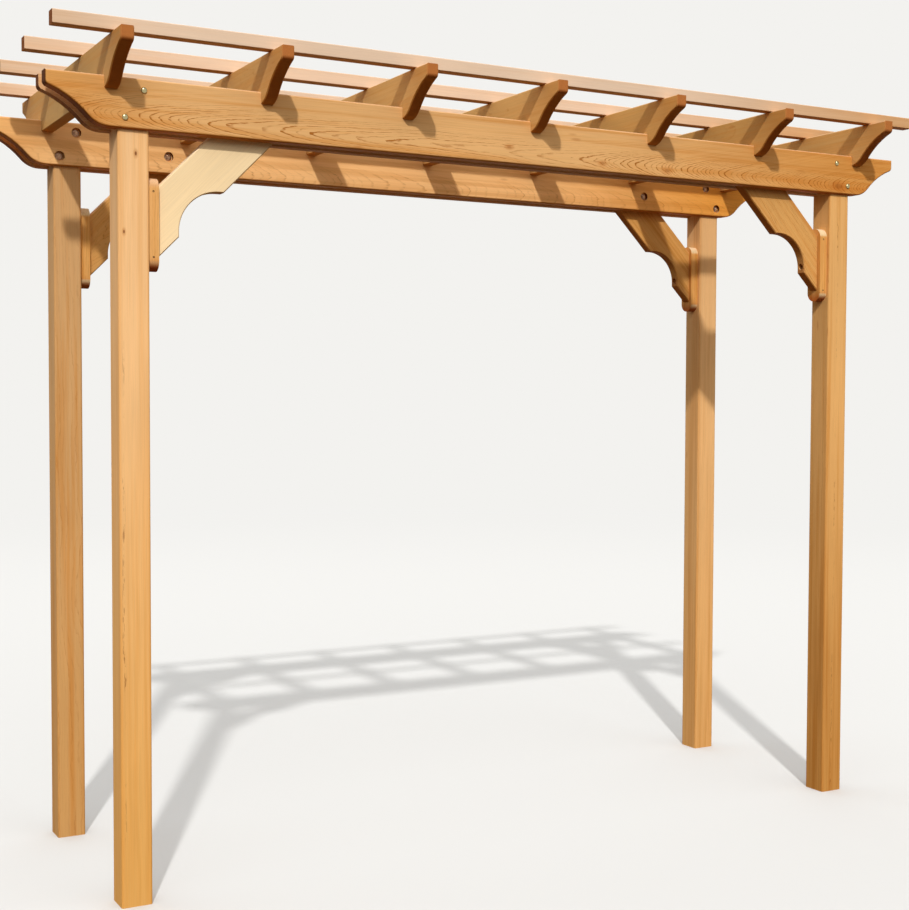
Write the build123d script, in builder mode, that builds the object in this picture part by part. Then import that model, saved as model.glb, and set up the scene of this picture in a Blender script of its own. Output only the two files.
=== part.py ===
from build123d import *
from math import cos, radians, sqrt
import os

# A four-post garden pergola of softwood boards with a flat slatted top.
# X runs along the headers, Y from front to rear, Z up. The origin is on the ground,
# in the middle of the four posts.

# Posts: square timbers whose tops are cut to a tongue between the header boards
post_size = 88.9
post_edge = 6.0
post_spacing_x = 2603.5
post_spacing_y = 749.3

# Headers: two boards each, let into both faces of the post tops
header_underside = 2184.4
header_length = 3092.0
header_height = 139.7
header_board = 38.1
header_edge = 6.0

# Ogee tail, cut with one pattern on the ends of every header board and rafter
tail_nose = 28.0
tail_nose_radius = 14.0
tail_nose_slope = 20.0
tail_scoop_radius = 266.0
tail_scoop_sweep = 28.0

# Rafters: boards on edge, notched down over the headers
rafter_count = 7
rafter_pitch = 455.6
rafter_length = 1188.0
rafter_height = 139.7
rafter_board = 38.1
rafter_notch = 38.1
rafter_edge = 3.0

# Slats: square battens across the rafters
slat_count = 4
slat_pitch = 333.4
slat_length = 3092.0
slat_size = 38.1
slat_edge = 3.0

# Braces: boards at 45 degrees from the post cleat up between the header boards
brace_width = 139.7
brace_board = 38.1
brace_foot_drop = 349.2
brace_head_rise = 101.6
brace_edge = 3.0
brace_scoop_start = 88.4
brace_scoop_leg = 133.3
brace_scoop_radius = 118.0

# Cleats: round-ended strips on the posts that carry the feet of the braces
cleat_width = 63.5
cleat_thickness = 31.8
cleat_length = 262.0
cleat_foot_drop = 387.4

# Recesses for the nuts of the bolts and for the head of each brace screw
nut_recess_radius = 15.9
nut_recess_depth = 12.0
post_bolt_offset = 27.0
post_bolt_low = 30.0
post_bolt_high = 108.0
brace_bolt_rise = 56.0
brace_bolt_inset = 35.0
screw_recess_radius = 11.0
screw_recess_depth = 22.0
brace_screw_rise = 84.0

# Play between sawn pieces that slide into one another
fit_play = 0.3

# Places worked out from the sizes above
gap_in_header = brace_board + 2 * fit_play
header_width = gap_in_header + 2 * header_board
header_top = header_underside + header_height
rafter_underside = header_top - rafter_notch
rafter_top = rafter_underside + rafter_height
post_face = post_spacing_x / 2 - post_size / 2
cleat_face = post_face - cleat_thickness
brace_foot = header_underside - brace_foot_drop
brace_inner_sum = cleat_face + brace_foot
brace_outer_sum = brace_inner_sum + brace_width * sqrt(2)

SIDES = (("left", -1), ("right", 1))
ROWS = (("front", -1), ("rear", 1))


def save(piece, name):
    """Label a finished piece and write it to its own file."""
    piece.part.label = name
    export_step(piece.part, f"parts/{name}.step")


def tailed_outline(plane, length, height):
    """Side view of a board on edge with the ogee tail on both lower corners."""
    with BuildSketch(plane) as outline:
        with BuildLine():
            top = Line((0, height), (length / 2, height))
            nose = Line(top @ 1, (length / 2, height - tail_nose))
            corner = JernArc(nose @ 1, nose % 1, tail_nose_radius, tail_nose_slope - 90)
            scoop = JernArc(corner @ 1, corner % 1, tail_scoop_radius, tail_scoop_sweep)
            heel_slope = tail_nose_slope + tail_scoop_sweep
            heel_radius = (scoop @ 1).Y / (1 - cos(radians(heel_slope)))
            heel = JernArc(scoop @ 1, scoop % 1, heel_radius, -heel_slope)
            Line(heel @ 1, (0, 0))
            mirror(about=Plane.YZ)
        make_face()
    return outline.sketch


def centred(count, pitch):
    """Places of a row of like pieces spaced evenly about the middle."""
    return [(index - (count - 1) / 2) * pitch for index in range(count)]


def post_bolts():
    """X and Z of the bolts that hold the headers to the post tongues."""
    places = []
    for _, side in SIDES:
        centre = side * post_spacing_x / 2
        places.append((centre - side * post_bolt_offset, header_underside + post_bolt_high))
        places.append((centre + side * post_bolt_offset, header_underside + post_bolt_low))
    return places


def brace_bolt(side):
    """X and Z of the bolt that holds the head of a brace."""
    height = header_underside + brace_bolt_rise
    return (side * (brace_outer_sum - brace_bolt_inset * sqrt(2) - height), height)


os.makedirs("parts", exist_ok=True)

# Posts
for row, front_rear in ROWS:
    for hand, side in SIDES:
        post_x = side * post_spacing_x / 2
        post_y = front_rear * post_spacing_y / 2
        with BuildPart() as post:
            with BuildSketch(Plane.XY):
                with Locations((post_x, post_y)):
                    RectangleRounded(post_size, post_size, post_edge)
            extrude(amount=header_top)
            with BuildSketch(Plane.XY.offset(header_underside)):
                with Locations((post_x, post_y)):
                    Rectangle(post_size, post_size)
                    Rectangle(post_size, gap_in_header, mode=Mode.SUBTRACT)
            extrude(amount=header_height, mode=Mode.SUBTRACT)
        save(post, f"post_{row}_{hand}")

# Headers: the open face of each board is rounded, and the inner board takes the nuts
for row, front_rear in ROWS:
    for place, outward in (("outer", 1), ("inner", -1)):
        header_y = front_rear * post_spacing_y / 2
        board_y = header_y + front_rear * outward * (gap_in_header + header_board) / 2
        board_plane = Plane((0, board_y, header_underside), x_dir=(1, 0, 0), z_dir=(0, -1, 0))
        face_side = front_rear * outward
        face_y = board_y + face_side * header_board / 2
        with BuildPart() as header:
            extrude(tailed_outline(board_plane, header_length, header_height), header_board / 2, both=True)
            open_face = header.faces().filter_by(Axis.Y).sort_by(Axis.Y)[-1 if face_side > 0 else 0]
            fillet(open_face.edges(), header_edge)
            if place == "inner":
                nuts = post_bolts() + [brace_bolt(side) for _, side in SIDES]
                with Locations(*[Plane((x, face_y, z), z_dir=(0, face_side, 0)) for x, z in nuts]):
                    Hole(nut_recess_radius, nut_recess_depth)
        save(header, f"header_{row}_{place}")

# Rafters
for number, rafter_x in enumerate(centred(rafter_count, rafter_pitch), start=1):
    rafter_plane = Plane((rafter_x, 0, rafter_underside), x_dir=(0, 1, 0), z_dir=(1, 0, 0))
    with BuildPart() as rafter:
        extrude(tailed_outline(rafter_plane, rafter_length, rafter_height), rafter_board / 2, both=True)
        chamfer(rafter.faces().filter_by(Axis.X).edges(), rafter_edge)
        with BuildSketch(rafter_plane):
            with Locations(*[(front_rear * post_spacing_y / 2, rafter_notch / 2) for _, front_rear in ROWS]):
                Rectangle(header_width + 2 * fit_play, rafter_notch)
        extrude(amount=rafter_board / 2, both=True, mode=Mode.SUBTRACT)
    save(rafter, f"rafter_{number}")

# Slats
for number, slat_y in enumerate(centred(slat_count, slat_pitch), start=1):
    with BuildPart() as slat:
        with BuildSketch(Plane.YZ):
            with Locations((slat_y, rafter_top + slat_size / 2)):
                RectangleRounded(slat_size, slat_size, slat_edge)
        extrude(amount=slat_length / 2, both=True)
    save(slat, f"slat_{number}")

# Cleats
for row, front_rear in ROWS:
    for hand, side in SIDES:
        cleat_middle = header_underside - cleat_foot_drop + cleat_length / 2
        with BuildPart() as cleat:
            with BuildSketch(Plane.YZ.offset(side * (cleat_face + cleat_thickness / 2))):
                with Locations((front_rear * post_spacing_y / 2, cleat_middle)):
                    SlotOverall(cleat_length, cleat_width, rotation=90)
            extrude(amount=cleat_thickness / 2, both=True)
        save(cleat, f"brace_cleat_{row}_{hand}")

# Braces: the scoop is a square bite with a round corner, cut in the open edge
for row, front_rear in ROWS:
    for hand, side in SIDES:
        brace_y = front_rear * post_spacing_y / 2
        head_z = header_underside + brace_head_rise
        scoop_x = cleat_face - brace_scoop_start / sqrt(2)
        scoop_z = brace_inner_sum - scoop_x
        corner_z = scoop_z + brace_scoop_leg
        corners = [
            (cleat_face, brace_foot),
            (scoop_x, scoop_z),
            (scoop_x, corner_z),
            (brace_inner_sum - corner_z, corner_z),
            (brace_inner_sum - head_z, head_z),
            (brace_outer_sum - head_z, head_z),
            (cleat_face, brace_outer_sum - cleat_face),
        ]
        screw_z = brace_foot + brace_screw_rise
        with BuildPart() as brace:
            with BuildSketch(Plane.XZ.offset(-brace_y)) as outline:
                with BuildLine():
                    Polyline(*[(side * x, z) for x, z in corners], close=True)
                make_face()
                bite = outline.vertices().sort_by_distance((side * scoop_x, corner_z, 0))[0]
                fillet(bite, brace_scoop_radius)
            extrude(amount=brace_board / 2, both=True)
            chamfer(brace.faces().filter_by(Axis.Y).edges(), brace_edge)
            with Locations(Plane((side * scoop_x, brace_y, screw_z), z_dir=(-side, 0, 0))):
                Hole(screw_recess_radius, screw_recess_depth)
        save(brace, f"brace_{row}_{hand}")
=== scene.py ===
import math

import bmesh
import bpy
from mathutils import Matrix, Vector


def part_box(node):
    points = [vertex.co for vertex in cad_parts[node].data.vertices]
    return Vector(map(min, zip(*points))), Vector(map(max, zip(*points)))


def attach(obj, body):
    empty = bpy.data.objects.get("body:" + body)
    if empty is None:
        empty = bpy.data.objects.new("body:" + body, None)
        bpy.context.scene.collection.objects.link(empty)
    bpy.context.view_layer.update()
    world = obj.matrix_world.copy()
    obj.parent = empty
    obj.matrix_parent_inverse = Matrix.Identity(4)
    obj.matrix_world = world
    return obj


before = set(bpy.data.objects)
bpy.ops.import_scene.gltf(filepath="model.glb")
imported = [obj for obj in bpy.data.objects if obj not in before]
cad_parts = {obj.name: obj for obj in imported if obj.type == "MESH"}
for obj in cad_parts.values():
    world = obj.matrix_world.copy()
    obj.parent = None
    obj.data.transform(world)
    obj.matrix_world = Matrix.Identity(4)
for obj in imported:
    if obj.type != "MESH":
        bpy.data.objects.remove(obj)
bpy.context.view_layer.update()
MM = 0.001

bl_info = {
    "name": "Garden pergola",
    "version": (1, 0, 0),
    "blender": (4, 5, 0),
    "location": "View3D > Sidebar > Pergola",
    "description": "Oiled cedar and zinc plated fixings for a four-post garden pergola",
    "category": "Object",
}

FRONT_REAR = (("front", -1), ("rear", 1))
LEFT_RIGHT = (("left", -1), ("right", 1))
RAFTERS = 7
SLATS = 4
X_AXIS = Vector((1, 0, 0))
Y_AXIS = Vector((0, 1, 0))
Z_AXIS = Vector((0, 0, 1))

# How many knots one board may have
KNOTS = "ABCD"

# Places of the fixings on the timbers
BOLT_OFFSET = 27 * MM
BOLT_LOW = 30 * MM
BOLT_HIGH = 108 * MM
BRACE_BOLT_RISE = 56 * MM
BRACE_BOLT_INSET = 35 * MM
NUT_RECESS_DEPTH = 12 * MM
BRACE_WIDTH = 139.7 * MM
BRACE_SCREW_RISE = 84 * MM
SCREW_RECESS_DEPTH = 22 * MM
BRACE_SCOOP_START = 88.4 * MM
BRAD_INSET = 39 * MM

# Camera: place and range of sight in metres, turn, tilt and roll in radians, sensor in millimetres
CAMERA_PLACE = (-2.4665, -4.4274, 1.4472)
CAMERA_ANGLES = (0.49861, -0.04011, 0.00326)
CAMERA_SENSOR = 36.0
CAMERA_NEAREST = 0.1
CAMERA_FARTHEST = 300.0

# Stage: lengths in metres, the way the key light shines and how wide it looks
FLOOR_RADIUS = 60.0
HAZE_START = 5.0
HAZE_END = 13.0
KEY_DIRECTION = (0.48, 1.0, -0.93)
KEY_ANGLE = math.radians(2)

# Distance from a long edge in which its warmer colour is full, and in which it ends, in millimetres
ARRIS_FULL = 3.0
ARRIS_END = 9.0

# Creases of the fixings that are sharper than this stay crisp
CRISP_ANGLE = math.radians(38)

# Layout in the node editor: how many nodes stand in a row, and the steps between them
NODE_COLUMNS = 14
NODE_STEP = (190, -280)

# Kinds of node that come up often, and the settings that go with them
MATH = "ShaderNodeMath"
VECTOR = "ShaderNodeVectorMath"
RANGE = "ShaderNodeMapRange"
MIX = "ShaderNodeMix"
SOFT = {"interpolation_type": "SMOOTHSTEP"}
COVER = {"data_type": "RGBA"}
TINT = {"data_type": "RGBA", "blend_type": "MULTIPLY"}


def paint(hex_code):
    """Linear RGBA of an sRGB hex colour."""
    values = [int(hex_code[i : i + 2], 16) / 255 for i in (1, 3, 5)]
    return (*[v / 12.92 if v <= 0.04045 else ((v + 0.055) / 1.055) ** 2.4 for v in values], 1.0)


def toned(color, light=1.0, gold=0.0):
    """A wood colour made lighter or darker, and more golden (or, below zero, more pink)."""
    red, green, blue = color[0], color[1], color[2]
    return (red * light, green * light * (1 - 0.10 * gold), blue * light * (1 - 0.35 * gold), 1.0)


def add(tree, kind, inputs=(), out=0, **settings):
    """Add a node with its settings and links, and give one of its outputs (or the node for out=None).

    The inputs come in order, or as a dict by the number or name of the socket.
    """
    node = tree.nodes.new(kind)
    row, column = divmod(len(tree.nodes), NODE_COLUMNS)
    node.location = (NODE_STEP[0] * column, NODE_STEP[1] * row)
    for name, value in settings.items():
        setattr(node, name, value)
    for socket, value in inputs.items() if isinstance(inputs, dict) else enumerate(inputs):
        if isinstance(value, bpy.types.NodeSocket):
            tree.links.new(value, node.inputs[socket])
        else:
            node.inputs[socket].default_value = value
    return node if out is None or not node.outputs else node.outputs[out]


# Settings

class PergolaTimber(bpy.types.PropertyGroup):
    post: bpy.props.FloatVectorProperty(
        name="Posts", description="Pale wood of the posts between the growth rings",
        subtype="COLOR", size=4, min=0, max=1, default=paint("#F8C68D"))
    header: bpy.props.FloatVectorProperty(
        name="Headers", description="Pale wood of the header boards",
        subtype="COLOR", size=4, min=0, max=1, default=paint("#E3B073"))
    rafter: bpy.props.FloatVectorProperty(
        name="Rafters", description="Pale wood of the rafters",
        subtype="COLOR", size=4, min=0, max=1, default=paint("#D6A766"))
    slat: bpy.props.FloatVectorProperty(
        name="Slats", description="Pale pink wood of the slats",
        subtype="COLOR", size=4, min=0, max=1, default=paint("#E4C6A9"))
    brace: bpy.props.FloatVectorProperty(
        name="Braces", description="Pale wood of the braces and their cleats",
        subtype="COLOR", size=4, min=0, max=1, default=paint("#DCA35C"))
    sapwood: bpy.props.FloatVectorProperty(
        name="Pale brace", description="Creamy sapwood of the front left brace",
        subtype="COLOR", size=4, min=0, max=1, default=paint("#FBDDAC"))
    ring: bpy.props.FloatProperty(
        name="Growth ring", description="Width of one growth ring, in millimetres",
        min=1, max=20, default=3.8)


class PergolaFixings(bpy.types.PropertyGroup):
    head: bpy.props.FloatProperty(
        name="Bolt head", description="Diameter of the domed bolt heads",
        unit="LENGTH", min=0.01, max=0.04, default=17.5 * MM)
    dome: bpy.props.FloatProperty(
        name="Dome height", description="Height of the domed bolt heads",
        unit="LENGTH", min=0.001, max=0.02, default=7 * MM)
    nut: bpy.props.FloatProperty(
        name="Nut", description="Width of the nuts across their flats",
        unit="LENGTH", min=0.006, max=0.02, default=13 * MM)
    washer: bpy.props.FloatProperty(
        name="Washer", description="Diameter of the washers under the nuts",
        unit="LENGTH", min=0.01, max=0.03, default=24 * MM)
    screw: bpy.props.FloatProperty(
        name="Screw head", description="Diameter of the countersunk screw heads",
        unit="LENGTH", min=0.004, max=0.012, default=8 * MM)


class PergolaStage(bpy.types.PropertyGroup):
    lens: bpy.props.FloatProperty(
        name="Lens", description="Focal length of the camera, in millimetres",
        min=10, max=200, default=57.68)
    key: bpy.props.FloatProperty(
        name="Key light", description="Strength of the soft key light from the front left",
        min=0, max=20, default=2.2)
    fill: bpy.props.FloatProperty(
        name="Fill light", description="Strength of the soft light from in front and behind",
        min=0, max=5, default=1.22)
    floor: bpy.props.FloatVectorProperty(
        name="Floor", description="Colour of the floor as the camera sees it",
        subtype="COLOR", size=4, min=0, max=1, default=paint("#D5D4D1"))
    backdrop: bpy.props.FloatVectorProperty(
        name="Backdrop", description="Colour of the backdrop behind the pergola",
        subtype="COLOR", size=4, min=0, max=1, default=paint("#F3F2EF"))


# Wood

def cedar_group():
    """Grain of a board of cedar, worked out in millimetres: X along the board, Y across it, Z through it."""
    tree = bpy.data.node_groups.new("cedar_grain", "ShaderNodeTree")
    sockets = {
        "NodeSocketVector": ("Board", "Seed", "Pith", *[f"Knot {letter}" for letter in KNOTS]),
        "NodeSocketColor": ("Pale", "Warm", "Latewood", "Cut", "Oil", "Underside shade"),
        "NodeSocketFloat": ("Runout", "Ring", "Ripple", "Wander", "Figure", "Quiet", "Band", "Warmth", "End",
                            "Soak", "Arris", "Seam", "Seam strength", "Top", "Under", "Knot core",
                            *[f"Knot {letter} size" for letter in KNOTS]),
    }
    for kind, names in sockets.items():
        for name in names:
            tree.interface.new_socket(name=name, in_out="INPUT", socket_type=kind)
    tree.interface.new_socket(name="Color", in_out="OUTPUT", socket_type="NodeSocketColor")
    tree.interface.new_socket(name="Height", in_out="OUTPUT", socket_type="NodeSocketFloat")
    tree.interface.new_socket(name="Roughness", in_out="OUTPUT", socket_type="NodeSocketFloat")
    given = add(tree, "NodeGroupInput", out=None).outputs
    place = add(tree, VECTOR, (given["Board"], given["Seed"]), operation="ADD")
    side = add(tree, "ShaderNodeSeparateXYZ", (given["Board"],), 1)

    # Noises, by their length along, across and through the board in millimetres
    noise = {}
    for name, detail, lengths in (
        ("wander", 2, (620, 900, 900)),
        ("ripple", 2, (200, 55, 55)),
        ("tremble", 2, (26, 9, 9)),
        ("dashes", 2, (34, 6, 6)),
        ("fibre", 3, (150, 2.6, 2.6)),
        ("streak", 3, (700, 14, 14)),
        ("belt", 1, (1900, 48, 48)),
        ("cloud", 2, (420, 130, 130)),
        ("drift", 2, (300, 900, 900)),
        ("ticks", 2, (22, 3, 3)),
        ("stretches", 2, (260, 900, 900)),
        ("pores", 2, (1.6, 1.6, 1.6)),
    ):
        scaled = add(tree, VECTOR, (place, [1 / length for length in lengths]), operation="MULTIPLY")
        source = add(tree, "ShaderNodeTexNoise", {"Vector": scaled, "Scale": 1.0, "Detail": detail}, None)
        noise[name] = source.outputs[1 if name == "wander" else 0]

    # Knots are twice as long as wide, and push the rings out round them
    swelling = 0.0
    cores = 0.0
    halos = 0.0
    for letter in KNOTS:
        size = given[f"Knot {letter} size"]
        offset = add(tree, VECTOR, (given["Board"], given[f"Knot {letter}"]), operation="SUBTRACT")
        oval = add(tree, VECTOR, (offset, (0.5, 1.0, 0.0)), operation="MULTIPLY")
        reach = add(tree, VECTOR, (oval,), 1, operation="LENGTH")
        least = add(tree, MATH, (size, 0.001), operation="MAXIMUM")
        share = add(tree, MATH, (reach, least), operation="DIVIDE")
        near = add(tree, RANGE, (share, 4.5, 0.6), **SOFT)
        push = add(tree, MATH, (size, 1.6), operation="MULTIPLY")
        push = add(tree, MATH, (near, push), operation="MULTIPLY")
        swelling = add(tree, MATH, (swelling, push), operation="ADD")
        core = add(tree, RANGE, (share, 1.15, 0.7), **SOFT)
        cores = add(tree, MATH, (cores, core), operation="MAXIMUM")
        halo = add(tree, RANGE, (share, 3.2, 0.9), **SOFT)
        halos = add(tree, MATH, (halos, halo), operation="MAXIMUM")

    # The pith wanders along the tree and the face runs out of the rings, which opens them into arches
    wander = add(tree, VECTOR, (noise["wander"], (0.5, 0.5, 0.5)), operation="SUBTRACT")
    wander = add(tree, VECTOR, {0: wander, "Scale": given["Wander"]}, operation="SCALE")
    spoke = add(tree, VECTOR, (given["Board"], given["Pith"]), operation="SUBTRACT")
    spoke = add(tree, VECTOR, (spoke, wander), operation="ADD")
    spoke = add(tree, VECTOR, (spoke, (0.0, 1.0, 1.0)), operation="MULTIPLY")
    radius = add(tree, VECTOR, (spoke,), 1, operation="LENGTH")
    ripple = add(tree, MATH, (noise["ripple"], 0.5), operation="SUBTRACT")
    ripple = add(tree, MATH, (ripple, given["Ripple"]), operation="MULTIPLY")
    tremble = add(tree, MATH, (noise["tremble"], 0.5), operation="SUBTRACT")
    small = add(tree, MATH, (given["Ripple"], 0.3), operation="MULTIPLY")
    tremble = add(tree, MATH, (tremble, small), operation="MULTIPLY")
    swelling = add(tree, MATH, (swelling, given["Knot core"]), operation="MULTIPLY")
    radius = add(tree, MATH, (radius, ripple), operation="ADD")
    unrest = add(tree, MATH, (tremble, swelling), operation="ADD")
    radius = add(tree, MATH, (radius, unrest), operation="ADD")
    radius = add(tree, MATH, (radius, given["Runout"]), operation="SUBTRACT")

    # Good and poor years come in turns of about nine, and each year has a luck of its own
    count = add(tree, MATH, (radius, given["Ring"]), operation="DIVIDE")
    turns = add(tree, MATH, (count, 0.7), operation="MULTIPLY")
    turns = add(tree, MATH, (turns,), operation="SINE")
    turns = add(tree, MATH, (turns, 0.4), operation="MULTIPLY")
    count = add(tree, MATH, (count, turns), operation="ADD")
    year = add(tree, MATH, (count,), operation="FLOOR")
    season = add(tree, MATH, (count,), operation="FRACT")
    luck = add(tree, "ShaderNodeTexWhiteNoise", {"W": year}, noise_dimensions="1D")

    # Pale early wood ends in a thin dark line of late wood, which breaks up into dashes along the grain
    late = add(tree, RANGE, (season, 0.68, 0.94), **SOFT)
    winter = add(tree, RANGE, (season, 1.0, 0.97), **SOFT)
    late = add(tree, MATH, (late, winter), operation="MULTIPLY")
    broken = add(tree, RANGE, (noise["dashes"], 0.36, 0.60, 0.18, 1.0), **SOFT)
    lucky = add(tree, RANGE, (luck, 0.0, 1.0, 0.3, 1.0), **SOFT)
    strength = add(tree, MATH, (late, broken), operation="MULTIPLY")
    strength = add(tree, MATH, (strength, lucky), operation="MULTIPLY")
    pith_side = add(tree, "ShaderNodeSeparateXYZ", (given["Pith"],), 1)
    aside = add(tree, MATH, (side, pith_side), operation="SUBTRACT")
    aside = add(tree, MATH, (aside,), operation="ABSOLUTE")
    inside = add(tree, MATH, (given["Band"], 0.36), operation="MULTIPLY")
    calm = add(tree, RANGE, (aside, given["Band"], inside, given["Quiet"], 1.0), **SOFT)
    line = add(tree, MATH, (strength, calm), operation="MULTIPLY")
    line = add(tree, MATH, (line, given["Figure"]), operation="MULTIPLY")

    # Warmer heartwood runs through in streaks and broad belts
    streak = add(tree, MATH, (noise["streak"], 0.6), operation="MULTIPLY")
    belt = add(tree, MATH, (noise["belt"], 0.4), operation="MULTIPLY")
    warmth = add(tree, MATH, (streak, belt), operation="ADD")
    yearly = add(tree, MATH, (luck, 0.5), operation="SUBTRACT")
    yearly = add(tree, MATH, (yearly, 0.07), operation="MULTIPLY")
    warmth = add(tree, MATH, (warmth, yearly), operation="ADD")
    warmth = add(tree, RANGE, (warmth, 0.42, 0.66), **SOFT)

    # Stray flecks, in cells of these lengths in millimetres
    cell = add(tree, VECTOR, (place, (1 / 190, 1 / 46, 1 / 46)), operation="MULTIPLY")
    spot = add(tree, "ShaderNodeTexVoronoi", {"Vector": cell, "Scale": 1.0}, None)
    chosen = add(tree, "ShaderNodeSeparateColor", (spot.outputs[1],))
    chosen = add(tree, MATH, (chosen, 0.8), operation="GREATER_THAN")
    fleck = add(tree, RANGE, (spot.outputs[0], 0.15, 0.05), **SOFT)
    fleck = add(tree, MATH, (fleck, chosen), operation="MULTIPLY")

    # A seam of short dark ticks where a pitch streak comes to the surface
    drift = add(tree, MATH, (noise["drift"], 0.5), operation="SUBTRACT")
    drift = add(tree, MATH, (drift, 14.0), operation="MULTIPLY")
    beside = add(tree, MATH, (side, drift), operation="ADD")
    beside = add(tree, MATH, (beside, given["Seam"]), operation="SUBTRACT")
    beside = add(tree, MATH, (beside,), operation="ABSOLUTE")
    beside = add(tree, RANGE, (beside, 4.5, 1.2), **SOFT)
    ticks = add(tree, RANGE, (noise["ticks"], 0.5, 0.62), **SOFT)
    ticks = add(tree, MATH, (beside, ticks), operation="MULTIPLY")
    stretches = add(tree, RANGE, (noise["stretches"], 0.42, 0.58), **SOFT)
    ticks = add(tree, MATH, (ticks, stretches), operation="MULTIPLY")

    # Cut ends show their pores and their late wood
    pores = add(tree, RANGE, (noise["pores"], 0.3, 0.7, 0.86, 1.05), **SOFT)
    rings = add(tree, MATH, (late, 0.35), operation="MULTIPLY")
    ending = add(tree, MIX, {0: rings, 6: given["Cut"], 7: (0.6, 0.6, 0.6, 1.0)}, 2, **TINT)
    ending = add(tree, MIX, {0: 1.0, 6: ending, 7: pores}, 2, **TINT)

    # The colours go over the pale wood in this order. Oil darkens what it soaks, the upper sides get a
    # painted highlight of pale pink, and the undersides get a painted shade of deeper brown
    clouds = add(tree, RANGE, (noise["cloud"], 0.3, 0.7, 0.955, 1.03), **SOFT)
    fibres = add(tree, RANGE, (noise["fibre"], 0.25, 0.75, 0.955, 1.035), **SOFT)
    color = given["Pale"]
    for share, weight, coat, way in (
        (warmth, given["Warmth"], given["Warm"], COVER),
        (1.0, 1.0, clouds, TINT),
        (line, 1.0, given["Latewood"], COVER),
        (1.0, 1.0, fibres, TINT),
        (halos, 0.5, paint("#BC7230"), COVER),
        (cores, given["Knot core"], paint("#6B3716"), COVER),
        (given["Arris"], 0.45, given["Warm"], COVER),
        (fleck, 0.4, paint("#B06C34"), COVER),
        (ticks, given["Seam strength"], paint("#8A5020"), COVER),
        (given["Soak"], 1.0, given["Oil"], TINT),
        (given["End"], 1.0, ending, COVER),
        # Painted highlight: faces looking up are made a paler pink
        (given["Top"], 0.3, paint("#EAD0B4"), COVER),
        # Painted shade: faces looking down are multiplied by a deeper brown
        (given["Under"], 1.0, given["Underside shade"], TINT),
    ):
        share = add(tree, MATH, (share, weight), operation="MULTIPLY")
        color = add(tree, MIX, {0: share, 6: color, 7: coat}, 2, **way)

    # Late wood and fibres stand up a little, and cut ends are rougher than planed faces
    line_relief = add(tree, MATH, (line, 0.5), operation="MULTIPLY")
    fibre_relief = add(tree, MATH, (noise["fibre"], 0.5), operation="MULTIPLY")
    height = add(tree, MATH, (line_relief, fibre_relief), operation="ADD")
    rough = add(tree, RANGE, (noise["fibre"], 0.2, 0.8, 0.6, 0.74), **SOFT)
    sawn = add(tree, MATH, (given["End"], 0.12), operation="MULTIPLY")
    rough = add(tree, MATH, (rough, sawn), operation="ADD")
    add(tree, "NodeGroupOutput", {"Color": color, "Height": height, "Roughness": rough})
    return tree


def lost_rings(tree, run, half_run, runout):
    """How deep the face has run into the rings: at a steady rate, or by places along the board and depths."""
    if not isinstance(runout, tuple):
        return add(tree, MATH, (run, runout), operation="MULTIPLY")
    share = add(tree, RANGE, (run, -half_run, half_run))
    bend = add(tree, "ShaderNodeFloatCurve", {"Value": share}, None)
    deepest = runout[-1][1]
    for place, depth in runout[1:-1]:
        bend.mapping.curves[0].points.new((place + half_run) / (2 * half_run), depth / deepest)
    bend.mapping.update()
    return add(tree, MATH, (bend.outputs[0], deepest), operation="MULTIPLY")


def near_arris(tree, sections, most):
    """Share of warmer colour near the long edges. Each section pairs a place across with half its size."""
    gaps = []
    for place, half in sections:
        reached = add(tree, MATH, (place,), operation="ABSOLUTE")
        gaps.append(add(tree, MATH, (half, reached), operation="SUBTRACT"))
    edge = add(tree, MATH, gaps, operation="MAXIMUM")
    return add(tree, RANGE, (edge, ARRIS_END, ARRIS_FULL, 0.0, most), **SOFT)


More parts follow.
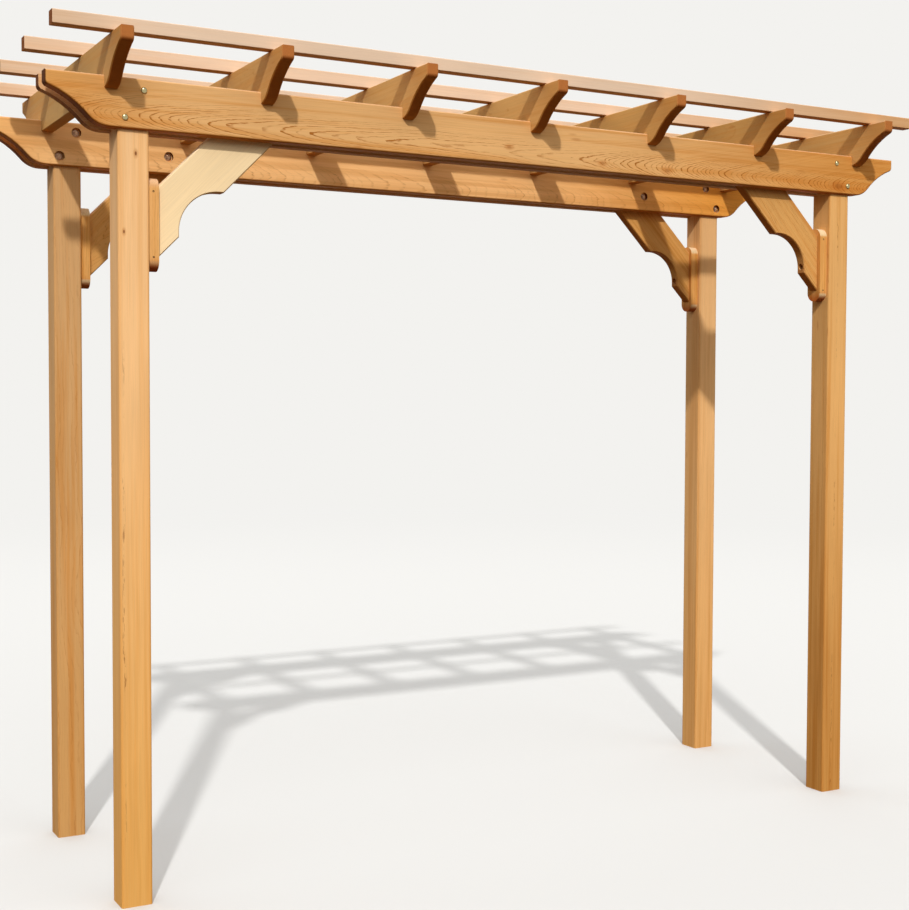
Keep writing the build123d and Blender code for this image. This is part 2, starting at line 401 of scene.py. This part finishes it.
def oiled_cedar(node, along, across, pale, seed, pith, wander, runout=0.05, ripple=8.0, figure=0.6, quiet=1.0,
                warm="#D08A3C", latewood="#A9682E", cut="#B4713A", oil="#F2C58F", warmth=0.6, soak=(0.0, 0.0),
                reach=(260.0, 260.0), seam=(0.0, 0.0), knots=(), core=0.8, arris=0.0, cut_angle=(0.25, 0.95),
                band=(62.0, 62.0), underside_shade="#DAB47E"):
    """Planed and oiled western red cedar: satin, honey to pink, its grain running through the whole board."""
    group = bpy.data.node_groups.get("cedar_grain") or cedar_group()
    low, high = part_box(node)
    turn = Matrix((along, across, along.cross(across))).transposed().to_euler()
    half_run, half_side, half_deep = [max(abs((high - low).dot(axis)), 0.01) / 2 / MM
                                      for axis in (along, across, along.cross(across))]
    finish = bpy.data.materials.new("oiled_cedar_" + node)
    finish.use_nodes = True
    tree = finish.node_tree
    tree.nodes.clear()
    where = add(tree, "ShaderNodeTexCoord", out=3)
    board = add(tree, "ShaderNodeMapping", {
        "Vector": where, "Location": (low + high) / 2, "Rotation": turn, "Scale": (MM, MM, MM)},
        vector_type="TEXTURE")
    run, side, deep = add(tree, "ShaderNodeSeparateXYZ", (board,), None).outputs

    # Which way the face looks: along the grain, up or down
    facing = add(tree, "ShaderNodeNewGeometry", out=3)
    cut_share = add(tree, VECTOR, (facing, along), 1, operation="DOT_PRODUCT")
    cut_share = add(tree, MATH, (cut_share,), operation="ABSOLUTE")
    cut_share = add(tree, RANGE, (cut_share, *cut_angle), **SOFT)
    upward = add(tree, "ShaderNodeSeparateXYZ", (facing,), 2)
    # Faces looking down get a painted shade, and faces looking up a painted highlight
    under = add(tree, RANGE, (upward, -0.15, -0.75), **SOFT)
    top = add(tree, RANGE, (upward, 0.15, 0.75), **SOFT)

    # Oil soaks in from both ends of the board, each as far as its reach
    near_start = add(tree, RANGE, (run, reach[0] - half_run, -half_run, 0.0, soak[0]), **SOFT)
    near_end = add(tree, RANGE, (run, half_run - reach[1], half_run, 0.0, soak[1]), **SOFT)
    soaked = add(tree, MATH, (near_start, near_end), operation="MAXIMUM")
    spread = add(tree, RANGE, (run, -half_run, half_run, *band))
    edge = near_arris(tree, ((side, half_side), (deep, half_deep)), arris) if arris else 0.0
    values = {
        "Board": board, "Seed": Vector((seed * 917.0, seed * 313.0, seed * 571.0)), "Pith": pith,
        "Runout": lost_rings(tree, run, half_run, runout), "Ring": bpy.context.scene.pergola_timber.ring,
        "Wander": wander, "Ripple": ripple, "Figure": figure, "Quiet": quiet, "Band": spread, "Pale": pale,
        "Warm": paint(warm), "Warmth": warmth, "Latewood": paint(latewood), "Cut": paint(cut),
        "End": cut_share, "Oil": paint(oil), "Soak": soaked, "Arris": edge, "Seam": seam[0],
        "Seam strength": seam[1], "Top": top, "Under": under, "Underside shade": paint(underside_shade), "Knot core": core,
    }
    for letter, (x, y, size) in zip(KNOTS, knots):
        values[f"Knot {letter}"] = (x, y, 0)
        values[f"Knot {letter} size"] = size
    grain = add(tree, "ShaderNodeGroup", values, None, node_tree=group).outputs
    relief = add(tree, "ShaderNodeBump", {"Height": grain["Height"], "Distance": 0.4 * MM, "Strength": 0.6})
    shader = add(tree, "ShaderNodeBsdfPrincipled", {
        "Base Color": grain["Color"], "Roughness": grain["Roughness"], "Normal": relief,
        "IOR": 1.45, "Specular IOR Level": 0.08})
    add(tree, "ShaderNodeOutputMaterial", {"Surface": shader})
    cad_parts[node].material_slots[0].material = finish


# Metal

def plated_steel(name, tint, roughness):
    """Zinc plated steel from a barrel: bright but a little cloudy, with fine tumbling marks."""
    cloud_width = 4 * MM
    mark_width = 0.8 * MM
    finish = bpy.data.materials.new(name)
    finish.use_nodes = True
    tree = finish.node_tree
    tree.nodes.clear()
    where = add(tree, "ShaderNodeTexCoord", out=3)
    cloud = add(tree, "ShaderNodeTexNoise", {"Vector": where, "Scale": 1 / cloud_width, "Detail": 3.0})
    dull = add(tree, RANGE, (cloud, 0.3, 0.7, roughness - 0.08, roughness + 0.12))
    dark = tuple(0.7 * value for value in tint[:3]) + (1.0,)
    color = add(tree, MIX, {0: cloud, 6: tint, 7: dark}, 2, **COVER)
    marks = add(tree, "ShaderNodeTexNoise", {"Vector": where, "Scale": 1 / mark_width, "Detail": 2.0})
    relief = add(tree, "ShaderNodeBump", {"Height": marks, "Distance": 0.05 * MM, "Strength": 0.4})
    shader = add(tree, "ShaderNodeBsdfPrincipled", {
        "Base Color": color, "Metallic": 1.0, "Roughness": dull, "Normal": relief})
    add(tree, "ShaderNodeOutputMaterial", {"Surface": shader})
    return finish


def faceted(flat, sides):
    """Reach of a regular outline at an angle, from the distance to its flats."""
    half = math.pi / sides
    return lambda angle: flat / math.cos((angle + half) % (2 * half) - half)


def turned(name, rows, steps, finish):
    """A mesh of rings round Z: each row is (radius, height), plain numbers or functions of the angle."""
    mesh = bpy.data.meshes.new(name)
    shape = bmesh.new()
    rings = []
    for radius, height in rows:
        ring = []
        for step in range(steps):
            angle = 2 * math.pi * step / steps
            reach = radius(angle) if callable(radius) else radius
            level = height(angle) if callable(height) else height
            ring.append(shape.verts.new((reach * math.cos(angle), reach * math.sin(angle), level)))
        rings.append(ring)
    for lower, upper in zip(rings, rings[1:]):
        for step in range(steps):
            after = (step + 1) % steps
            shape.faces.new((lower[step], lower[after], upper[after], upper[step]))
    shape.faces.new(rings[-1])
    shape.faces.new(reversed(rings[0]))
    for face in shape.faces:
        face.smooth = len(face.verts) == 4
    shape.normal_update()
    shape.to_mesh(mesh)
    shape.free()
    mesh.set_sharp_from_angle(angle=CRISP_ANGLE)
    mesh.materials.append(finish)
    return mesh


def put(name, mesh, place, facing, spin=0.0):
    """Set a fixing on its face: its Z axis looks along facing."""
    piece = bpy.data.objects.new(name, mesh)
    bpy.context.scene.collection.objects.link(piece)
    turn = Vector(facing).to_track_quat("Z", "Y").to_matrix().to_4x4()
    piece.matrix_world = Matrix.Translation(place) @ turn @ Matrix.Rotation(spin, 4, "Z")
    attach(piece, "root")


def post_bolt_places():
    """X and Z of the two bolts through the top of each post."""
    places = []
    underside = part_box("header_front_outer")[0].z
    for hand, side in LEFT_RIGHT:
        low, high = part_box("post_front_" + hand)
        middle = (low.x + high.x) / 2
        places.append((hand + "_upper", middle - side * BOLT_OFFSET, underside + BOLT_HIGH))
        places.append((hand + "_lower", middle + side * BOLT_OFFSET, underside + BOLT_LOW))
    return places


def brace_bolt_places():
    """X and Z of the bolt through the head of each brace."""
    places = []
    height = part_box("header_front_outer")[0].z + BRACE_BOLT_RISE
    low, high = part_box("brace_front_right")
    outer_edge = low.x + high.z + BRACE_WIDTH * math.sqrt(2)
    reach = outer_edge - BRACE_BOLT_INSET * math.sqrt(2) - height
    for hand, side in LEFT_RIGHT:
        places.append((hand + "_brace", side * reach, height))
    return places


# Operators

class PERGOLA_OT_posts(bpy.types.Operator):
    """Give the four posts their straight upright grain"""
    bl_idname = "pergola.posts"
    bl_label = "Posts"

    def execute(self, context):
        tone = context.scene.pergola_timber.post
        oiled_cedar("post_front_left", Z_AXIS, X_AXIS, tone, 1.0, (0, 130, 90), 26, runout=0.01, figure=0.1,
                    warm="#EAA65A", oil="#ECD898", warmth=0.4, soak=(0.85, 0.0), reach=(2100.0, 1.0),
                    seam=(-32, 0.6), knots=((957, 6.5, 3.0), (739, -28, 2.5)), arris=0.8)
        oiled_cedar("post_front_right", Z_AXIS, X_AXIS, toned(tone, 0.86, 0.95), 2.3, (0, -150, -70), 30,
                    runout=0.01, figure=0.35, oil="#DAC69D", warmth=0.7, soak=(0.85, 0.0),
                    reach=(1900.0, 1.0), seam=(-4, 0.6), arris=0.5)
        oiled_cedar("post_rear_left", Z_AXIS, X_AXIS, toned(tone, 0.73, 0.4), 3.1, (0, 60, 160), 30,
                    runout=0.01, figure=0.35, oil="#ECD495", warmth=0.6, soak=(0.5, 0.0),
                    reach=(1900.0, 1.0), arris=0.5)
        oiled_cedar("post_rear_right", Z_AXIS, X_AXIS, toned(tone, 0.92, 0.35), 4.7, (0, -120, 120), 24,
                    runout=0.01, figure=0.25, oil="#ECD495", warmth=0.45, soak=(0.5, 0.0),
                    reach=(1900.0, 1.0), arris=0.5)
        return {"FINISHED"}


class PERGOLA_OT_headers(bpy.types.Operator):
    """Give the header boards their arched flat-sawn grain"""
    bl_idname = "pergola.headers"
    bl_label = "Headers"

    def execute(self, context):
        tone = context.scene.pergola_timber.header
        # Places along the front board and how deep its face has run into the rings there, in
        # millimetres: where the depth grows slowly the arches are long, as they are left of its middle
        depths = ((-1546, 0), (-900, 90), (-150, 112), (300, 136), (560, 174), (900, 240), (1546, 376))
        # The cut ends of the headers are dark end grain, made darker still as painted shade, most on the
        # front board's shaded tail scoops
        oiled_cedar("header_front_outer", X_AXIS, Z_AXIS, tone, 5.2, (0, -38, 47), 26, runout=depths,
                    ripple=7.0, figure=1.8, quiet=0.12, latewood="#A86628", cut="#5E3418", warmth=0.65,
                    oil="#F4D79A", soak=(0.65, 0.85), reach=(420.0, 1500.0),
                    knots=((258, -42, 4.5), (-98, -19, 4.0), (520, -46, 5.5), (1285, -44, 9.0)),
                    core=0.25, band=(78.0, 48.0))
        oiled_cedar("header_front_inner", X_AXIS, Z_AXIS, toned(tone, 1.02, -1.4), 6.4, (0, 30, 90), 80,
                    cut="#6E3E1C", soak=(0.2, 0.5))
        # The rear inner board is made lighter than the others: partly paler wood, partly painted light for
        # the brighter light on its face
        oiled_cedar("header_rear_inner", X_AXIS, Z_AXIS, toned(tone, 1.24, -0.2), 7.9, (0, -52, 150), 30,
                    runout=-0.1, figure=0.5, quiet=0.08, cut="#6E3E1C", warmth=0.4, oil="#F2D07A",
                    soak=(0.3, 0.95), reach=(260.0, 1300.0))
        oiled_cedar("header_rear_outer", X_AXIS, Z_AXIS, tone, 8.8, (0, 20, -130), 50, runout=0.1,
                    figure=0.7, quiet=0.3, cut="#6E3E1C", soak=(0.6, 0.5))
        return {"FINISHED"}


class PERGOLA_OT_rafters(bpy.types.Operator):
    """Give the seven rafters their grain"""
    bl_idname = "pergola.rafters"
    bl_label = "Rafters"

    def execute(self, context):
        tone = context.scene.pergola_timber.rafter
        # Lightness and goldenness of each rafter; the first is made darker as painted shade
        shades = ((0.9, 0.0), (1.0, 0.0), (1.06, -0.1), (1.08, 0.0), (1.0, 0.3), (0.9, 0.4), (0.99, 0.05))
        for number, (light, gold) in enumerate(shades, start=1):
            side = -1 if number % 2 else 1
            oiled_cedar(f"rafter_{number}", Y_AXIS, Z_AXIS, toned(tone, light, gold), 10.0 + 1.7 * number,
                        (0, side * 35, side * 110), 50, runout=0.04 * side, figure=0.2, warmth=0.35,
                        cut="#B87038", soak=(0.4, 0.4), reach=(200.0, 200.0))
        return {"FINISHED"}


class PERGOLA_OT_slats(bpy.types.Operator):
    """Give the four slats their pale pink grain"""
    bl_idname = "pergola.slats"
    bl_label = "Slats"

    def execute(self, context):
        tone = context.scene.pergola_timber.slat
        for number in range(1, SLATS + 1):
            side = -1 if number % 2 else 1
            oiled_cedar(f"slat_{number}", X_AXIS, Z_AXIS, tone, 30.0 + 2.3 * number, (0, side * 90, 120), 30,
                        runout=0.02, figure=0.1, warm="#DDB186", latewood="#B98657", warmth=0.4,
                        cut="#8C5228", oil="#EBD3B0", soak=(0.3, 1.0), reach=(260.0, 1300.0))
        return {"FINISHED"}


class PERGOLA_OT_braces(bpy.types.Operator):
    """Give the braces a grain along their slope, and their cleats an upright one"""
    bl_idname = "pergola.braces"
    bl_label = "Braces and cleats"

    def execute(self, context):
        tone = context.scene.pergola_timber.brace
        sapwood = context.scene.pergola_timber.sapwood
        looks = {
            "front_left": (sapwood, 0.04, "#F5D49E", 0.2),
            "front_right": (toned(tone, 1.0, -0.1), 1.2, "#D28A40", 0.7),
            "rear_left": (tone, 0.6, "#D08A3C", 0.6),
            "rear_right": (toned(tone, 1.02, 0.2), 0.7, "#C47E30", 0.7),
        }
        for number, (row, _) in enumerate(FRONT_REAR):
            for hand, side in LEFT_RIGHT:
                corner = f"{row}_{hand}"
                slope = Vector((-side, 0, 1)).normalized()
                pale, figure, warm, warmth = looks[corner]
                oiled_cedar("brace_" + corner, slope, Y_AXIS.cross(slope), pale, 41.0 + number * 3 + side,
                            (0, -60, 70), 50, runout=0.06, ripple=14.0, figure=figure, warm=warm,
                            warmth=warmth)
                # The front left cleat is cut from paler wood than the others
                creamy = corner == "front_left"
                cleat_tone = toned(tone, 1.22, -1.2) if creamy else toned(tone, 1.1, 0.0)
                # Each cleat is tinted redder over its lowest 45 mm, and its downward faces get a painted
                # shade of red brown
                oiled_cedar("brace_cleat_" + corner, Z_AXIS, Y_AXIS, cleat_tone, 51.0 + number * 3 + side,
                            (0, 60, 70), 20, runout=0.01, figure=0.6, warm="#CE8330",
                            warmth=0.45 if creamy else 0.9, cut="#DDA66C" if creamy else "#EBCB98",
                            cut_angle=(0.0, 0.3), soak=(0.9, 0.0), reach=(45.0, 1.0), oil="#D89468",
                            underside_shade="#C07C54")
        return {"FINISHED"}


class PERGOLA_OT_bolts(bpy.types.Operator):
    """Set the domed bolt heads on the outer header boards"""
    bl_idname = "pergola.bolts"
    bl_label = "Bolt heads"

    def execute(self, context):
        sizes = context.scene.pergola_fixings
        # Yellow passivated zinc has an olive brown depth and a warm white shine
        brassy = plated_steel("yellow_zinc_plated_steel", paint("#BFB488"), 0.26)
        reach = sizes.head / 2
        rim = 1.1 * MM
        levels = 9
        rows = [(reach * 0.9, 0.0), (reach, 0.3 * MM), (reach, rim)]
        for step in range(1, levels):
            angle = math.pi / 2 * step / levels
            rows.append((reach * math.cos(angle), rim + (sizes.dome - rim) * math.sin(angle)))
        rows.append((reach * 0.06, sizes.dome))
        head = turned("domed_bolt_head", rows, 40, brassy)
        for row, outward in FRONT_REAR:
            low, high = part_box(f"header_{row}_outer")
            face = low.y if outward < 0 else high.y
            for name, x, z in post_bolt_places():
                put(f"bolt_head_{row}_{name}", head, (x, face, z), (0, outward, 0))
        return {"FINISHED"}


class PERGOLA_OT_nuts(bpy.types.Operator):
    """Set a washer, a nut and the end of the bolt in each recess of the inner header boards"""
    bl_idname = "pergola.nuts"
    bl_label = "Nuts and washers"

    def execute(self, context):
        sizes = context.scene.pergola_fixings
        # Dull zinc plate with a warm grey tint, which is a painted reflection of the timbers round it
        grey = plated_steel("zinc_plated_steel_painted_reflection", paint("#C49F82"), 0.4)
        rim = sizes.washer / 2
        flat = sizes.nut / 2
        bore = 4.4 * MM
        plate = 1.6 * MM
        top = plate + 6.5 * MM
        hexagon = faceted(flat, 6)

        def shoulder(angle):
            return top - (hexagon(angle) - flat) * math.tan(math.radians(30))

        washer = turned("washer", [
            (rim - 0.2 * MM, 0), (rim, 0.2 * MM), (rim, plate - 0.2 * MM), (rim - 0.3 * MM, plate),
            (bore, plate), (bore, plate - 0.4 * MM)], 48, grey)
        nut = turned("hexagon_nut", [
            (hexagon, plate), (hexagon, shoulder), (flat, top), (bore + 0.5 * MM, top),
            (bore, top - 0.6 * MM)], 48, grey)

        # The thread of the bolt winds up out of the nut, and its last turns taper
        pitch = 1.25 * MM
        root = 3.45 * MM
        ridge = 0.6 * MM
        length = 3.6 * MM
        levels = 30
        taper_start = 0.86
        thread = []
        for level in range(levels + 1):
            lift = top - 0.8 * MM + length * level / levels
            taper = max(0.0, level / levels - taper_start) * 4 * MM

            def flank(angle, lift=lift, taper=taper):
                wave = abs((lift / pitch - angle / (2 * math.pi)) % 1 - 0.5) * 2
                return root + ridge * wave - taper

            thread.append((flank, lift))
        end = turned("bolt_end", thread, 36, grey)
        for row, outward in FRONT_REAR:
            low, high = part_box(f"header_{row}_inner")
            face = high.y if outward < 0 else low.y
            floor = face + outward * NUT_RECESS_DEPTH
            for number, (name, x, z) in enumerate(post_bolt_places() + brace_bolt_places()):
                for label, mesh in (("washer", washer), ("nut", nut), ("bolt_end", end)):
                    put(f"{label}_{row}_{name}", mesh, (x, floor, z), (0, -outward, 0), 0.4 + 0.9 * number)
        return {"FINISHED"}


class PERGOLA_OT_screws(bpy.types.Operator):
    """Set the screws of the slats, rafters and braces, and the brads in the edges of the cleats"""
    bl_idname = "pergola.screws"
    bl_label = "Screws and brads"

    def execute(self, context):
        sizes = context.scene.pergola_fixings
        # Yellow passivated screws are a shade darker than the bolts, because their heads stay rough
        rough = plated_steel("yellow_zinc_plated_screw", paint("#9C8A55"), 0.42)
        reach = sizes.screw / 2
        drive = 1.35 * MM
        depth = 1.6 * MM
        proud = 0.05 * MM
        square = faceted(drive, 4)
        countersunk = turned("countersunk_screw_head", [
            (reach - 0.9 * MM, -1.2 * MM), (reach, -0.05 * MM), (reach, 0.5 * proud),
            (reach - 0.2 * MM, proud), (drive * 1.9, proud), (square, proud - 0.2 * MM),
            (square, proud - depth)], 32, rough)
        flange = 8.5 * MM
        flat = 4.0 * MM
        hexagon = faceted(flat, 6)
        flanged = turned("flange_screw_head", [
            (flange - 0.3 * MM, 0.0), (flange, 0.3 * MM), (flange, 1.3 * MM), (flat * 1.3, 2.2 * MM),
            (hexagon, 2.6 * MM), (hexagon, 6.4 * MM), (flat - 0.4 * MM, 7.0 * MM)], 48, rough)
        # Dull dark steel with a dimple in the middle, flush with the wood
        dull = plated_steel("dull_steel_brad", paint("#4A3222"), 0.5)
        rim = 3.0 * MM
        brad = turned("brad_head", [
            (rim * 0.7, -1.0 * MM), (rim, -0.1 * MM), (rim, 0.05 * MM), (rim * 0.8, 0.12 * MM),
            (rim * 0.35, 0.0), (rim * 0.2, -0.1 * MM)], 20, dull)
        for number in range(1, RAFTERS + 1):
            low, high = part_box(f"rafter_{number}")
            middle = (low.x + high.x) / 2
            for slat in range(1, SLATS + 1):
                slat_low, slat_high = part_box(f"slat_{slat}")
                put(f"slat_screw_{slat}_{number}", countersunk,
                    (middle, (slat_low.y + slat_high.y) / 2, slat_high.z), Z_AXIS, 0.7 * number + 1.9 * slat)
            for row, _ in FRONT_REAR:
                post_low, post_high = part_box(f"post_{row}_left")
                put(f"rafter_screw_{row}_{number}", countersunk,
                    (middle, (post_low.y + post_high.y) / 2, high.z), Z_AXIS, 1.3 * number)
        for row, outward in FRONT_REAR:
            for hand, side in LEFT_RIGHT:
                low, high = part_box(f"brace_cleat_{row}_{hand}")
                face = low.y if outward < 0 else high.y
                middle = (low.x + high.x) / 2
                for end, height in (("upper", high.z - BRAD_INSET), ("lower", low.z + BRAD_INSET)):
                    put(f"brad_{row}_{hand}_{end}", brad, (middle, face, height), (0, outward, 0))
                low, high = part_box(f"brace_{row}_{hand}")
                foot = high.x if side > 0 else -low.x
                scoop = foot - BRACE_SCOOP_START / math.sqrt(2)
                floor = side * (scoop + SCREW_RECESS_DEPTH)
                put(f"brace_screw_{row}_{hand}", flanged,
                    (floor, (low.y + high.y) / 2, low.z + BRACE_SCREW_RISE), (-side, 0, 0), 0.3)
        return {"FINISHED"}


class PERGOLA_OT_stage(bpy.types.Operator):
    """Lay the floor, hang the lights and set up the camera"""
    bl_idname = "pergola.stage"
    bl_label = "Stage"

    def execute(self, context):
        sizes = context.scene.pergola_stage
        lay_floor(context.scene, sizes)
        hang_lights(context.scene, sizes)
        aim_camera(context.scene, sizes)
        context.scene.view_settings.view_transform = "Standard"
        return {"FINISHED"}


# Stage

def seen_share(tree):
    """1 for rays that come to the eye straight, mirrored or through glass, and 0 for light that bounces."""
    path = add(tree, "ShaderNodeLightPath", out=None).outputs
    seen = add(tree, MATH, (path["Is Camera Ray"], path["Is Glossy Ray"]), operation="MAXIMUM")
    return add(tree, MATH, (seen, path["Is Transmission Ray"]), operation="MAXIMUM")


def lay_floor(scene, sizes):
    """A wide plain floor that takes the shadow of the pergola."""
    mesh = bpy.data.meshes.new("floor")
    shape = bmesh.new()
    bmesh.ops.create_circle(shape, cap_ends=True, segments=96, radius=FLOOR_RADIUS)
    shape.to_mesh(mesh)
    shape.free()
    floor = bpy.data.objects.new("floor", mesh)
    scene.collection.objects.link(floor)
    # Matt painted screed: the camera sees it pale, and it throws back less light than it shows
    finish = bpy.data.materials.new("matt_floor_paint")
    finish.use_nodes = True
    tree = finish.node_tree
    tree.nodes.clear()
    seen = seen_share(tree)
    coat = add(tree, MIX, {0: seen, 6: paint("#4A3C2B"), 7: sizes.floor}, 2, **COVER)
    matt = add(tree, "ShaderNodeBsdfPrincipled", {
        "Base Color": coat, "Roughness": 0.9, "IOR": 1.4, "Specular IOR Level": 0.1})
    # Far from the pergola the floor turns into the backdrop, so no horizon shows
    where = add(tree, "ShaderNodeNewGeometry")
    away = add(tree, VECTOR, (where,), 1, operation="LENGTH")
    away = add(tree, RANGE, (away, HAZE_START, HAZE_END), **SOFT)
    away = add(tree, MATH, (away, seen), operation="MULTIPLY")
    haze = add(tree, "ShaderNodeEmission", {"Color": sizes.backdrop})
    blend = add(tree, "ShaderNodeMixShader", (away, matt, haze))
    add(tree, "ShaderNodeOutputMaterial", {"Surface": blend})
    mesh.materials.append(finish)


def hang_lights(scene, sizes):
    """Soft light mostly from in front and behind, a plain backdrop, and a key light from the front left."""
    world = bpy.data.worlds.new("studio")
    world.use_nodes = True
    scene.world = world
    tree = world.node_tree
    tree.nodes.clear()
    seen = seen_share(tree)
    # The large soft lights stand in front and behind, above eye level, so ends and undersides get less
    direction = add(tree, "ShaderNodeTexCoord")
    _, ahead, height = add(tree, "ShaderNodeSeparateXYZ", (direction,), None).outputs
    ahead = add(tree, MATH, (ahead,), operation="ABSOLUTE")
    spread = add(tree, RANGE, {0: ahead, 3: 0.4 * sizes.fill, 4: 1.5 * sizes.fill})
    height = add(tree, RANGE, (height, 0.0, 0.5), **SOFT)
    spread = add(tree, MATH, (spread, height), operation="MULTIPLY")
    even = add(tree, "ShaderNodeBackground", {"Color": paint("#FFFFFF"), "Strength": spread})
    backdrop = add(tree, "ShaderNodeBackground", {"Color": sizes.backdrop, "Strength": 1.0})
    both = add(tree, "ShaderNodeMixShader", (seen, even, backdrop))
    add(tree, "ShaderNodeOutputWorld", {"Surface": both})

    key = bpy.data.lights.new("key", "SUN")
    key.energy = sizes.key
    key.angle = KEY_ANGLE
    lamp = bpy.data.objects.new("key", key)
    scene.collection.objects.link(lamp)
    lamp.rotation_euler = Vector(KEY_DIRECTION).to_track_quat("-Z", "Y").to_euler()


def aim_camera(scene, sizes):
    """The camera of the photo, in front of the pergola and past its left end."""
    eye = bpy.data.cameras.new("camera")
    eye.lens = sizes.lens
    eye.sensor_width = CAMERA_SENSOR
    eye.clip_start = CAMERA_NEAREST
    eye.clip_end = CAMERA_FARTHEST
    camera = bpy.data.objects.new("camera", eye)
    scene.collection.objects.link(camera)
    turn, tilt, roll = CAMERA_ANGLES
    forward = Vector((math.sin(turn) * math.cos(tilt), math.cos(turn) * math.cos(tilt), math.sin(tilt)))
    level = Vector((math.cos(turn), -math.sin(turn), 0.0))
    up = level.cross(forward)
    right = level * math.cos(roll) + up * math.sin(roll)
    top = up * math.cos(roll) - level * math.sin(roll)
    facing = Matrix((right, top, -forward)).transposed().to_4x4()
    camera.matrix_world = Matrix.Translation(CAMERA_PLACE) @ facing
    scene.camera = camera


class PERGOLA_PT_panel(bpy.types.Panel):
    """Lists the pieces of the pergola in the sidebar"""
    bl_idname = "PERGOLA_PT_panel"
    bl_label = "Garden pergola"
    bl_space_type = "VIEW_3D"
    bl_region_type = "UI"
    bl_category = "Pergola"

    def draw(self, context):
        scene = context.scene
        column = self.layout.column()
        for group in (scene.pergola_timber, scene.pergola_fixings, scene.pergola_stage):
            for name in group.bl_rna.properties.keys():
                if name not in ("rna_type", "name"):
                    column.prop(group, name)
        for piece in OPERATORS:
            column.operator(piece.bl_idname)


OPERATORS = (PERGOLA_OT_posts, PERGOLA_OT_headers, PERGOLA_OT_rafters, PERGOLA_OT_slats, PERGOLA_OT_braces,
             PERGOLA_OT_bolts, PERGOLA_OT_nuts, PERGOLA_OT_screws, PERGOLA_OT_stage)
GROUPS = (PergolaTimber, PergolaFixings, PergolaStage)


def register():
    for item in (*GROUPS, *OPERATORS, PERGOLA_PT_panel):
        bpy.utils.register_class(item)
    bpy.types.Scene.pergola_timber = bpy.props.PointerProperty(type=PergolaTimber)
    bpy.types.Scene.pergola_fixings = bpy.props.PointerProperty(type=PergolaFixings)
    bpy.types.Scene.pergola_stage = bpy.props.PointerProperty(type=PergolaStage)


def unregister():
    del bpy.types.Scene.pergola_timber
    del bpy.types.Scene.pergola_fixings
    del bpy.types.Scene.pergola_stage
    for item in reversed((*GROUPS, *OPERATORS, PERGOLA_PT_panel)):
        bpy.utils.unregister_class(item)


def main():
    register()
    for piece in OPERATORS:
        getattr(bpy.ops.pergola, piece.bl_idname.split(".")[1])()


if __name__ == "__main__":
    main()
